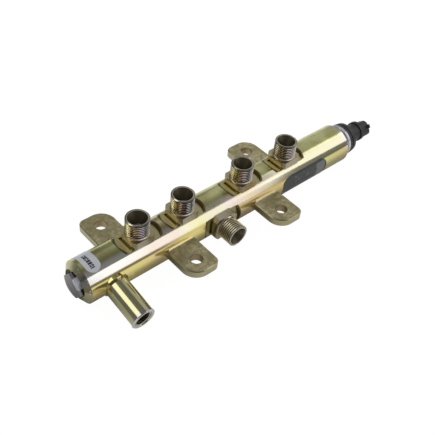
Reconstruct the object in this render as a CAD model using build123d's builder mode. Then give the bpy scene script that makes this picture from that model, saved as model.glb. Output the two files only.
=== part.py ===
from build123d import *
import math
import os

os.makedirs("parts", exist_ok=True)

# Fuel rail of a diesel common-rail engine, in millimetres.
# Origin on the rail's axis in the face of the plug end, +X along the rail
# to the sensor end, +Y to the back, +Z along the four outlet stubs.

# ---- rail forging ----
rail_d = 30.0
rail_r = rail_d / 2
rail_length = 244.0
rail_bore_d = 10.0
plug_end_chamfer = 3.0
plug_recess_r = 10.5
plug_recess_depth = 2.0
plug_recess_rim = 0.3
sensor_end_chamfer = 4.0
sensor_end_bevel = 3.0

# ---- outlet and inlet ports ----
outlet_x = (47.0, 83.5, 136.5, 179.5)
inlet_x = 109.0
boss_side = 18.0
boss_corner = 2.5
boss_top = rail_r + 3.0
spot_floor = rail_r - 2.5
spot_floor_r = 14.5
spot_wall_slope = 0.52
slot_width = 1.2
slot_length = 12.6
slot_depth = 1.0
port_foot_ring = 0.25
port_thread_d = 16.0
port_thread_depth = 0.92
port_height = boss_top + 12.0
foot_ring_height = 0.7
mouth_r = 6.6
mouth_half_angle = 30.0
port_drill_d = 5.0
restrictor_bore_d = 1.0
restrictor_length = 9.0
restrictor_gap = 0.02

# ---- fixing lugs: rail position, side, side of the full round ----
lugs = ((40.0, 1, 1), (71.5, -1, -1), (149.5, -1, -1), (173.0, 1, 1))
lug_thickness = 6.0
lug_width = 23.0
lug_hole_y = rail_r + 15.5
lug_tip = 11.2
lug_hole_d = 8.5
lug_round_r = 11.0
lug_corner_r = 5.0
lug_edge = 0.6
lug_root_r = 2.6

# ---- return stub ----
stub_x = 20.5
stub_tilt = 9.2
stub_d = 16.0
stub_lip_d = 16.8
stub_lip_length = 1.0
stub_thread_d = 12.0
stub_thread_length = 16.0
stub_bore_d = 9.0
stub_foot = rail_r - 3.4
stub_tip = rail_r + 28.2
stub_chamfer = 0.5
braze_gap = 0.03
braze_width = 1.4
braze_top = rail_r + 0.8
drain_d = 5.0

# ---- relief valve in the plug end ----
plug_af = 16.0
plug_turn = 10.0
plug_head = 2.4
plug_face_r = 8.2
plug_face_chamfer = 0.9
plug_nose_bevel = 0.5
plug_thread_d = 16.0
plug_thread_length = 9.5
chamber_d = 14.0
plug_nose_end = 14.5
groove_start = 10.6
groove_stretch = 1.35
o_ring_section = 1.8
o_ring_squeeze = 0.1
shim_d = 13.0
shim_thickness = 1.0
piston_face = 28.0
guide_length = 5.0
guide_gap = 0.08
guide_flat = 5.6
piston_neck_r = 3.4
pilot_length = 2.0
pilot_r = 3.5
valve_gap = 0.1
seat_face = 36.0
seat_length = 6.0
seat_bore_d = 1.8
spring_mean_d = 10.2
spring_wire_d = 2.6
spring_turns = 4.2
fit_gap = 0.03

# ---- pressure sensor ----
sensor_af = 24.6
sensor_turn = 10.0
sensor_hex = 3.0
sensor_hex_r = 12.6
sensor_thread_d = 18.0
sensor_thread_length = 13.0
sensor_cone_length = 4.0
sensor_port_d = 3.0
cell_d = 8.0
cell_height = 3.0
cell_rise = 1.4
cell_floor = 0.6
cell_wall = 0.8
flange_r = 12.5
flange_length = 6.5
flange_step = 0.6
flange_groove_start = 2.2
flange_groove_end = 3.2
neck_length = 14.0
neck_r = 7.1
neck_flare_length = 2.4
neck_flare = 1.5
collar_r = 7.9
collar_start = 18.5
collar_end = 21.5
shroud_turn = 50.0
shroud_offset = -0.8
shroud_end = 30.0
shroud_width = 12.0
shroud_height = 11.6
shroud_corner = 4.2
shroud_wall = 1.5
shroud_depth = 9.5
latch_width = 3.0
latch_foot = 4.0
latch_top = 7.6
latch_flat = 1.4
latch_heel = 5.4
latch_length = 2.6
cavity_r = 9.6
cavity_lip = 1.6
cavity_depth = 4.4
board_r = 8.6
board_thickness = 1.2
board_play = 0.05
board_gap = 1.9
seal_squeeze = 0.3
seal_inset = 1.6
seal_section = 1.5
terminal_width = 1.5
terminal_thickness = 0.6
terminal_pitch = 3.0
terminal_length = 23.9
terminal_gap = 0.02

# ---- labels ----
label_gap = 0.02
label_thickness = 0.12
top_label_x = (5.4, 15.5)
top_label_arc = (75.3, 150.0)
front_label_x = (rail_length - 76.3, rail_length - 29.5)
front_label_arc = (-38.0, 32.0)
front_corner_r = 6.5
front_corner_x = 11.5
front_corner_y = 5.2

# ---- derived places ----
core_r = port_thread_d / 2 - port_thread_depth
drill_r = port_drill_d / 2
chamber_r = chamber_d / 2
chamber_end = seat_face + seat_length
cone_depth = (mouth_r - drill_r) / math.tan(math.radians(mouth_half_angle))
cone_foot = port_height - cone_depth
sensor_thread_start = rail_length - sensor_thread_length
sensor_cone_start = sensor_thread_start - sensor_cone_length
hex_face = rail_length + sensor_hex


def port_plane(x, axis):
    """Plane on the rail's axis at x, looking out along a port."""
    return Plane(origin=(x, 0, 0), x_dir=(1, 0, 0), z_dir=axis)


def section_plane(port):
    """Plane through a port's axis: x along the rail, y out along the port."""
    side = Vector(1, 0, 0).cross(port.z_dir)
    return Plane(origin=port.origin, x_dir=(1, 0, 0), z_dir=side)


def arc_point(angle, radius):
    """Point of a rail section at an angle up from the front, as (y, z)."""
    turn = math.radians(angle)
    return (-radius * math.cos(turn), radius * math.sin(turn))


outlets = [port_plane(x, (0, 0, 1)) for x in outlet_x]
ports = outlets + [port_plane(inlet_x, (0, -1, 0))]
stub_dir = (0, -math.cos(math.radians(stub_tilt)), -math.sin(math.radians(stub_tilt)))
stub_plane = port_plane(stub_x, stub_dir)

# ---- one lug blank per place, edges rounded before it joins the rail ----
lug_blanks = []
lug_reach = lug_hole_y + lug_tip
for lug_x, side, round_side in lugs:
    with BuildPart() as lug:
        with BuildSketch(Plane.XY.offset(-lug_thickness / 2)) as outline:
            with Locations((lug_x, side * lug_reach / 2)):
                Rectangle(lug_width, lug_reach)
            tip = outline.vertices().group_by(Axis.Y)[-1 if side > 0 else 0].sort_by(Axis.X)
            fillet(tip[-1 if round_side > 0 else 0], radius=lug_round_r)
            tip = outline.vertices().group_by(Axis.Y)[-1 if side > 0 else 0].sort_by(Axis.X)
            fillet(tip[0 if round_side > 0 else -1], radius=lug_corner_r)
        extrude(amount=lug_thickness)
        faces = lug.faces().sort_by(Axis.Z)
        rim = faces[0].edges() + faces[-1].edges()
        rim = rim.filter_by(lambda e: abs(e.center().Y) > 1)
        chamfer(rim, length=lug_edge)
    lug_blanks.append(lug.part)

with BuildPart() as rail_body:
    with BuildSketch(Plane.XY):
        Polygon(
            (0, 0),
            (0, plug_recess_r + plug_recess_rim),
            (plug_end_chamfer, rail_r),
            (rail_length - sensor_end_chamfer, rail_r),
            (rail_length, rail_r - sensor_end_bevel),
            (rail_length, 0),
            align=None,
        )
    revolve(axis=Axis.X)

    # spot faces: a shallow milled pocket round each port
    for port in ports:
        rim_r = spot_floor_r + (rail_r + 1 - spot_floor) * spot_wall_slope
        with BuildSketch(section_plane(port)):
            Polygon(
                (0, spot_floor),
                (spot_floor_r, spot_floor),
                (rim_r, rail_r + 1),
                (0, rail_r + 1),
                align=None,
            )
        revolve(axis=Axis(port.origin, port.z_dir), mode=Mode.SUBTRACT)

    for blank in lug_blanks:
        add(blank)
    root_y = math.sqrt(rail_r**2 - (lug_thickness / 2) ** 2)
    roots = rail_body.edges().filter_by(Axis.X).filter_by(
        lambda e: abs(abs(e.center().Y) - root_y) < 0.05
        and abs(abs(e.center().Z) - lug_thickness / 2) < 0.05
    )
    fillet(roots, radius=lug_root_r)

    # square bosses with bevelled corners
    for port in ports:
        with BuildSketch(port.offset(rail_r / 2)) as boss:
            Rectangle(boss_side, boss_side)
            chamfer(boss.vertices(), length=boss_corner)
        extrude(amount=boss_top - rail_r / 2)

    # relief slot at the foot of each boss, on its plug-end face
    for port in ports:
        with BuildSketch(port.offset(spot_floor - slot_depth)):
            with Locations((-boss_side / 2 - slot_width / 2, 0)):
                Rectangle(slot_width, slot_length)
        extrude(amount=slot_depth + 1, mode=Mode.SUBTRACT)

    # stubs: foot ring, then the core of the male thread
    for port in ports:
        with BuildSketch(section_plane(port)):
            Polygon(
                (0, boss_top - 1),
                (port_thread_d / 2 + port_foot_ring, boss_top - 1),
                (port_thread_d / 2 + port_foot_ring, boss_top),
                (port_thread_d / 2, boss_top + foot_ring_height),
                (core_r, boss_top + foot_ring_height),
                (core_r, port_height),
                (0, port_height),
                align=None,
            )
        revolve(axis=Axis(port.origin, port.z_dir))

    # braze ring at the return stub's foot
    with BuildSketch(section_plane(stub_plane)):
        stub_r = stub_d / 2 + braze_gap
        Polygon(
            (0, stub_foot),
            (stub_r + braze_width, stub_foot - 2),
            (stub_r + braze_width, braze_top - braze_width),
            (stub_r, braze_top),
            (0, braze_top),
            align=None,
        )
    revolve(axis=Axis(stub_plane.origin, stub_plane.z_dir))

    # end bores and main bore, turned from both ends
    with BuildSketch(Plane.XY):
        Polygon(
            (0, 0),
            (0, plug_recess_r),
            (plug_recess_depth, plug_recess_r),
            (plug_recess_depth, plug_thread_d / 2),
            (plug_thread_length, plug_thread_d / 2),
            (plug_thread_length + 1, chamber_r),
            (chamber_end, chamber_r),
            (chamber_end, rail_bore_d / 2),
            (sensor_cone_start, rail_bore_d / 2),
            (sensor_thread_start, sensor_thread_d / 2),
            (rail_length, sensor_thread_d / 2),
            (rail_length, 0),
            align=None,
        )
    revolve(axis=Axis.X, mode=Mode.SUBTRACT)

    # port drillings with conical mouths
    for port in ports:
        with BuildSketch(section_plane(port)):
            Polygon(
                (0, 0),
                (drill_r, 0),
                (drill_r, cone_foot),
                (mouth_r, port_height),
                (0, port_height),
                align=None,
            )
        revolve(axis=Axis(port.origin, port.z_dir), mode=Mode.SUBTRACT)

    # socket and drain drilling of the return stub
    with BuildSketch(stub_plane):
        Circle(drain_d / 2)
    extrude(amount=stub_foot, mode=Mode.SUBTRACT)
    with BuildSketch(stub_plane.offset(stub_foot)):
        Circle(stub_d / 2 + braze_gap)
    extrude(amount=braze_top, mode=Mode.SUBTRACT)

    # fixing holes
    for lug_x, side, round_side in lugs:
        with Locations((lug_x, side * lug_hole_y, lug_thickness / 2)):
            Hole(lug_hole_d / 2, depth=lug_thickness)

# ---- return stub: tapped tube ----
with BuildPart() as return_stub:
    with BuildSketch(section_plane(stub_plane)):
        Polygon(
            (stub_bore_d / 2, stub_foot),
            (stub_d / 2, stub_foot),
            (stub_d / 2, stub_tip - stub_lip_length),
            (stub_lip_d / 2, stub_tip - stub_lip_length),
            (stub_lip_d / 2, stub_tip - stub_chamfer),
            (stub_lip_d / 2 - stub_chamfer, stub_tip),
            (stub_thread_d / 2 + stub_chamfer, stub_tip),
            (stub_thread_d / 2, stub_tip - stub_chamfer),
            (stub_thread_d / 2, stub_tip - stub_thread_length),
            (stub_bore_d / 2, stub_tip - stub_thread_length - 1.5),
            align=None,
        )
    revolve(axis=Axis(stub_plane.origin, stub_plane.z_dir))

# ---- relief valve ----
groove_end = groove_start + o_ring_section * groove_stretch
groove_r = chamber_r - o_ring_section + o_ring_squeeze
plug_core = plug_thread_d / 2 - fit_gap
with BuildPart() as valve_plug:
    with BuildSketch(Plane.YZ.offset(-plug_head)):
        RegularPolygon(plug_af / 2, 6, major_radius=False, rotation=plug_turn)
    extrude(amount=plug_head + plug_recess_depth)
    with BuildSketch(Plane.XY):
        Polygon(
            (-plug_head, 0),
            (-plug_head, plug_face_r),
            (-plug_head + plug_face_chamfer, plug_recess_r),
            (plug_recess_depth, plug_recess_r),
            (plug_recess_depth, 0),
            align=None,
        )
    revolve(axis=Axis.X, mode=Mode.INTERSECT)
    with BuildSketch(Plane.XY):
        Polygon(
            (0, 0),
            (0, plug_core),
            (plug_thread_length - plug_nose_bevel, plug_core),
            (plug_thread_length + plug_nose_bevel, chamber_r - fit_gap),
            (groove_start, chamber_r - fit_gap),
            (groove_start, groove_r),
            (groove_end, groove_r),
            (groove_end, chamber_r - fit_gap),
            (plug_nose_end - plug_nose_bevel, chamber_r - fit_gap),
            (plug_nose_end, chamber_r - plug_nose_bevel),
            (plug_nose_end, 0),
            align=None,
        )
    revolve(axis=Axis.X)

o_ring_r = (groove_r + chamber_r) / 2
with BuildPart() as valve_plug_o_ring:
    with BuildSketch(Plane.XY):
        with Locations(((groove_start + groove_end) / 2, o_ring_r)):
            RegularPolygon((chamber_r - groove_r) / 2 - fit_gap, 8)
    revolve(axis=Axis.X)

with BuildPart() as valve_shim:
    with BuildSketch(Plane.YZ.offset(plug_nose_end)):
        Circle(shim_d / 2)
        Circle(spring_mean_d / 4, mode=Mode.SUBTRACT)
    extrude(amount=shim_thickness)

with BuildPart() as valve_seat:
    with BuildSketch(Plane.XY):
        Polygon(
            (seat_face, seat_bore_d / 2),
            (seat_face, chamber_r - fit_gap),
            (chamber_end, chamber_r - fit_gap),
            (chamber_end, rail_bore_d / 2 - 1),
            (chamber_end - 2, seat_bore_d / 2),
            align=None,
        )
    revolve(axis=Axis.X)

cone_start = seat_face - valve_gap - (piston_neck_r - seat_bore_d / 2)
tip_r = 0.4
tip_x = seat_face - valve_gap + seat_bore_d / 2 - tip_r
with BuildPart() as valve_poppet:
    with BuildSketch(Plane.XY):
        Polygon(
            (piston_face - pilot_length, 0),
            (piston_face - pilot_length, pilot_r - 0.4),
            (piston_face - pilot_length + 0.4, pilot_r),
            (piston_face, pilot_r),
            (piston_face, chamber_r - guide_gap),
            (piston_face + guide_length, chamber_r - guide_gap),
            (piston_face + guide_length, piston_neck_r),
            (cone_start, piston_neck_r),
            (tip_x, tip_r),
            (tip_x, 0),
            align=None,
        )
    revolve(axis=Axis.X)
    with BuildSketch(Plane.YZ.offset(piston_face)):
        with PolarLocations(guide_flat + chamber_r / 2, 3, start_angle=90):
            Rectangle(chamber_r, chamber_d)
    extrude(amount=guide_length, mode=Mode.SUBTRACT)

# helical spring with its ends ground flat on the shim and the piston
spring_start = plug_nose_end + shim_thickness
spring_length = piston_face - spring_start
coil_lead = spring_length / (spring_turns - 1)
with BuildPart() as valve_spring:
    with BuildLine():
        coil = Helix(
            pitch=coil_lead,
            height=coil_lead * spring_turns,
            radius=spring_mean_d / 2,
            center=(spring_start - coil_lead / 2, 0, 0),
            direction=(1, 0, 0),
        )
    with BuildSketch(Plane(origin=coil @ 0, z_dir=coil % 0)):
        RegularPolygon(spring_wire_d / 2, 8)
    sweep(path=coil, is_frenet=True)
    with BuildSketch(Plane.YZ.offset(spring_start)):
        Circle(spring_mean_d)
    extrude(amount=spring_length, mode=Mode.INTERSECT)

# ---- outlet restrictors, pressed in above the main bore ----
restrictor_top = cone_foot - 0.3
restrictors = []
for port in outlets:
    with BuildPart() as restrictor:
        with BuildSketch(section_plane(port)):
            Polygon(
                (restrictor_bore_d / 2, restrictor_top - restrictor_length),
                (drill_r - restrictor_gap, restrictor_top - restrictor_length),
                (drill_r - restrictor_gap, restrictor_top),
                (drill_r - 0.6, restrictor_top),
                (restrictor_bore_d / 2, restrictor_top - 1.4),
                align=None,
            )
        revolve(axis=Axis(port.origin, port.z_dir))
    restrictors.append(restrictor.part)

# ---- pressure sensor ----
seal_r = flange_r - seal_inset
with BuildPart() as sensor_base:
    with BuildSketch(Plane.YZ.offset(rail_length)):
        RegularPolygon(sensor_af / 2, 6, major_radius=False, rotation=sensor_turn)
    extrude(amount=sensor_hex)
    with BuildSketch(Plane.XY):
        Polygon(
            (rail_length, 0),
            (rail_length, sensor_af / 2),
            (rail_length + 0.5, sensor_hex_r),
            (hex_face - 0.5, sensor_hex_r),
            (hex_face, flange_r - 0.3),
            (hex_face, 0),
            align=None,
        )
    revolve(axis=Axis.X, mode=Mode.INTERSECT)
    with BuildSketch(Plane.XY):
        Polygon(
            (rail_length + 1, 0),
            (rail_length + 1, sensor_thread_d / 2 - fit_gap),
            (sensor_thread_start + 0.1, sensor_thread_d / 2 - fit_gap),
            (sensor_cone_start + 1, rail_bore_d / 2 + 0.9),
            (sensor_cone_start + 1, 0),
            align=None,
        )
    revolve(axis=Axis.X)
    with BuildSketch(Plane.YZ.offset(sensor_cone_start)):
        Circle(sensor_port_d / 2)
    extrude(amount=hex_face - sensor_cone_start, mode=Mode.SUBTRACT)

with BuildPart() as sensor_diaphragm:
    with BuildSketch(Plane.XY):
        Polygon(
            (hex_face, cell_d / 2 - cell_wall),
            (hex_face, cell_d / 2),
            (hex_face + cell_rise, cell_d / 2),
            (hex_face + cell_rise, 0),
            (hex_face + cell_floor, 0),
            (hex_face + cell_floor, cell_d / 2 - cell_wall),
            align=None,
        )
    revolve(axis=Axis.X)

with BuildPart() as sensor_seal:
    with BuildSketch(Plane.XY):
        with Locations((hex_face + seal_section / 2, seal_r - seal_squeeze)):
            RegularPolygon(seal_section / 2, 8)
    revolve(axis=Axis.X)

with BuildPart() as sensor_board:
    with BuildSketch(Plane.YZ.offset(hex_face + board_gap)):
        Circle(board_r)
    extrude(amount=board_thickness)

across = (0, math.cos(math.radians(shroud_turn)), math.sin(math.radians(shroud_turn)))
shroud_plane = Plane(origin=(hex_face, 0, 0), x_dir=across, z_dir=(1, 0, 0))
# section of the latch: x back along the rail, y out from the shroud
latch_plane = Plane(origin=(hex_face + shroud_end, 0, 0), x_dir=(-1, 0, 0), z_dir=across)
terminal_start = board_gap + board_thickness
pin_places = [(shroud_offset + k * terminal_pitch, 0) for k in (-1, 0, 1)]
neck_end = hex_face + neck_length

with BuildPart() as sensor_housing:
    with BuildSketch(Plane.XY):
        with BuildLine():
            Polyline(
                (hex_face, 0),
                (hex_face, flange_r),
                (hex_face + flange_groove_start, flange_r),
                (hex_face + flange_groove_start, flange_r - flange_step),
                (hex_face + flange_groove_end, flange_r - flange_step),
                (hex_face + flange_groove_end, flange_r - flange_step / 4),
                (hex_face + flange_length, flange_r - flange_step),
            )
            Spline(
                (hex_face + flange_length, flange_r - flange_step),
                (hex_face + flange_length + neck_flare_length, neck_r + neck_flare),
                (neck_end, neck_r),
                tangents=((0.35, -1), (1, -0.25)),
            )
            Polyline(
                (neck_end, neck_r),
                (hex_face + collar_start, neck_r),
                (hex_face + collar_start, collar_r),
                (hex_face + collar_end, collar_r),
                (hex_face + collar_end, 0),
                (hex_face, 0),
            )
        make_face()
    revolve(axis=Axis.X)
    with BuildSketch(shroud_plane.offset(collar_start)):
        with Locations((shroud_offset, 0)):
            RectangleRounded(shroud_width, shroud_height, shroud_corner)
    extrude(amount=shroud_end - collar_start)
    # latch ramp for the plug's clip
    with BuildSketch(latch_plane):
        Polygon(
            (0, latch_foot),
            (0, latch_top),
            (latch_flat, latch_top),
            (latch_length, latch_heel),
            (latch_length, latch_foot),
            align=None,
        )
    extrude(amount=latch_width / 2, both=True)
    # connector mouth
    with BuildSketch(shroud_plane.offset(shroud_end - shroud_depth)):
        with Locations((shroud_offset, 0)):
            RectangleRounded(
                shroud_width - 2 * shroud_wall,
                shroud_height - 2 * shroud_wall,
                shroud_corner - shroud_wall / 2,
            )
    extrude(amount=shroud_depth, mode=Mode.SUBTRACT)
    # electronics cavity, open to the steel base
    with BuildSketch(Plane.YZ.offset(hex_face)):
        Circle(cavity_r - cavity_lip)
    extrude(amount=cavity_depth, mode=Mode.SUBTRACT)
    with BuildSketch(Plane.YZ.offset(hex_face)):
        Circle(board_r + board_play)
    extrude(amount=board_gap + board_thickness, mode=Mode.SUBTRACT)
    # groove of the face seal
    with BuildSketch(Plane.YZ.offset(hex_face)):
        Circle(seal_r - seal_squeeze + seal_section / 2)
        Circle(seal_r - seal_squeeze - seal_section / 2, mode=Mode.SUBTRACT)
    extrude(amount=seal_section, mode=Mode.SUBTRACT)
    # slots for the pins
    with BuildSketch(shroud_plane):
        for place in pin_places:
            with Locations(place):
                Rectangle(
                    terminal_width + 2 * terminal_gap,
                    terminal_thickness + 2 * terminal_gap,
                )
    extrude(amount=shroud_end, mode=Mode.SUBTRACT)

terminals = []
for place in pin_places:
    with BuildPart() as terminal:
        with BuildSketch(shroud_plane.offset(terminal_start)):
            with Locations(place):
                Rectangle(terminal_width, terminal_thickness)
        extrude(amount=terminal_length)
        chamfer(terminal.faces().sort_by(Axis.X)[-1].edges(), length=0.2)
    terminals.append(terminal.part)

# ---- labels: thin skins wrapped on the rail ----
skin_in = rail_r + label_gap
skin_out = skin_in + label_thickness


def radial_plane(x, angle):
    """Plane on the rail's axis at x, looking out at an angle up from the front."""
    y, z = arc_point(angle, 1)
    return Plane(origin=(x, 0, 0), x_dir=(1, 0, 0), z_dir=(0, y, z))


def sector(x_from, x_to, low, high):
    """Wedge about the rail's axis between two angles, from one x to another."""
    with BuildPart() as wedge:
        with BuildSketch(Plane.YZ.offset(x_from)):
            far = 3 * rail_r
            spread = [low + (high - low) * k / 4 for k in range(5)]
            Polygon((0, 0), *[arc_point(a, far) for a in spread], align=None)
        extrude(amount=x_to - x_from)
    return wedge.part


def radial_post(x, angle, half_x, half_arc):
    """Round or oval post that stands out of the rail at an angle."""
    with BuildPart() as post:
        with BuildSketch(radial_plane(x, angle)):
            Ellipse(half_x, half_arc)
        extrude(amount=2 * rail_r)
    return post.part


def ring_skin(x_from, x_to):
    """Full ring of label thickness on the rail."""
    with BuildPart() as ring:
        with BuildSketch(Plane.YZ.offset(x_from)):
            Circle(skin_out)
            Circle(skin_in, mode=Mode.SUBTRACT)
        extrude(amount=x_to - x_from)
    return ring.part


top_mid = sum(top_label_x) / 2
top_half = (top_label_x[1] - top_label_x[0]) / 2
with BuildPart() as label_top:
    add(ring_skin(*top_label_x))
    with BuildPart(mode=Mode.PRIVATE) as mask:
        add(sector(*top_label_x, *top_label_arc))
        for angle in top_label_arc:
            add(radial_post(top_mid, angle, top_half, top_half))
    add(mask.part, mode=Mode.INTERSECT)

arc_mm = math.degrees(1 / rail_r)
x_low, x_high = front_label_x
a_low, a_high = front_label_arc
with BuildPart() as label_front:
    add(ring_skin(x_low, x_high))
    with BuildPart(mode=Mode.PRIVATE) as mask:
        add(sector(x_low + front_corner_x, x_high - front_corner_r, a_low, a_high))
        reach = front_corner_y * arc_mm
        add(sector(x_low, x_low + front_corner_x, a_low + reach, a_high - reach))
        for angle in (a_low + reach, a_high - reach):
            add(radial_post(x_low + front_corner_x, angle, front_corner_x, front_corner_y))
        reach = front_corner_r * arc_mm
        add(sector(x_high - front_corner_r, x_high, a_low + reach, a_high - reach))
        for angle in (a_low + reach, a_high - reach):
            add(radial_post(x_high - front_corner_r, angle, front_corner_r, front_corner_r))
    add(mask.part, mode=Mode.INTERSECT)

# ---- names and files ----
pieces = {
    "rail_body": rail_body.part,
    "return_stub": return_stub.part,
    "valve_plug": valve_plug.part,
    "valve_plug_o_ring": valve_plug_o_ring.part,
    "valve_shim": valve_shim.part,
    "valve_spring": valve_spring.part,
    "valve_poppet": valve_poppet.part,
    "valve_seat": valve_seat.part,
    "sensor_base": sensor_base.part,
    "sensor_diaphragm": sensor_diaphragm.part,
    "sensor_board": sensor_board.part,
    "sensor_seal": sensor_seal.part,
    "sensor_housing": sensor_housing.part,
    "label_top": label_top.part,
    "label_front": label_front.part,
}
for number, part in enumerate(restrictors, 1):
    pieces[f"outlet_restrictor_{number}"] = part
for number, part in enumerate(terminals, 1):
    pieces[f"sensor_terminal_{number}"] = part
for name, part in pieces.items():
    part.label = name
    export_step(part, f"parts/{name}.step")
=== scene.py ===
"""Looks of a forged diesel fuel rail: plating, threads, labels and the studio round it."""

from __future__ import annotations

import logging
import math
from dataclasses import dataclass
from enum import Enum
from typing import Any

import bpy
from mathutils import Matrix, Vector


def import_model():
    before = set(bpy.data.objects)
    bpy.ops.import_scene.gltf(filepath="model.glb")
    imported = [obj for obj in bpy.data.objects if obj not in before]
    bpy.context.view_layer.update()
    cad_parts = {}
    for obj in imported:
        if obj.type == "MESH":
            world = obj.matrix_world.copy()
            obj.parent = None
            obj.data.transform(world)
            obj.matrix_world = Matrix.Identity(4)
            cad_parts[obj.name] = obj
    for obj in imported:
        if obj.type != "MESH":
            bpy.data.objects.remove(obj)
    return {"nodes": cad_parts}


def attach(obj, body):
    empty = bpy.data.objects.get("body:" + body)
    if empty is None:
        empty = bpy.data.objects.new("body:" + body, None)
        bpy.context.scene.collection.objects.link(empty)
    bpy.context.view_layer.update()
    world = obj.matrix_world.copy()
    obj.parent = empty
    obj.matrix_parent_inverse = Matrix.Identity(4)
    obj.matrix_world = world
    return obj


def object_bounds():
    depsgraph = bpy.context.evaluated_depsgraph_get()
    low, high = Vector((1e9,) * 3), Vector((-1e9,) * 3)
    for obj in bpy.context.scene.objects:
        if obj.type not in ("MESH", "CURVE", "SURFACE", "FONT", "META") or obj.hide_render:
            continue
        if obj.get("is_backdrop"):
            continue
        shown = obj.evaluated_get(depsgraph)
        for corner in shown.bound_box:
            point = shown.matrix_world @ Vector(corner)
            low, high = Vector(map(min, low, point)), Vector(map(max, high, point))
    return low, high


LOG = logging.getLogger("fuel_rail")
MM = 0.001
RAIL_BODY = "rail"
OUTLET_X = (47.0, 83.5, 136.5, 179.5)
INLET_X = 109.0
INLET_REACH = 16.5
RAIL_RADIUS = 15.0
LUG_X = (40.0, 71.5, 149.5, 173.0)
LUG_HOLE_Y = 30.5
SHARP_ANGLE = math.radians(25.0)
SENSOR_WIDTH = 36.0
MARK_DEPTH = 0.0002
Colour = tuple[float, float, float]
Point = tuple[float, float, float]


class Axis(Enum):
    """Directions that a port can face, as the turn that brings +Z there."""

    UP = (0.0, 0.0, 0.0)
    FRONT = (math.radians(90.0), 0.0, 0.0)


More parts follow.
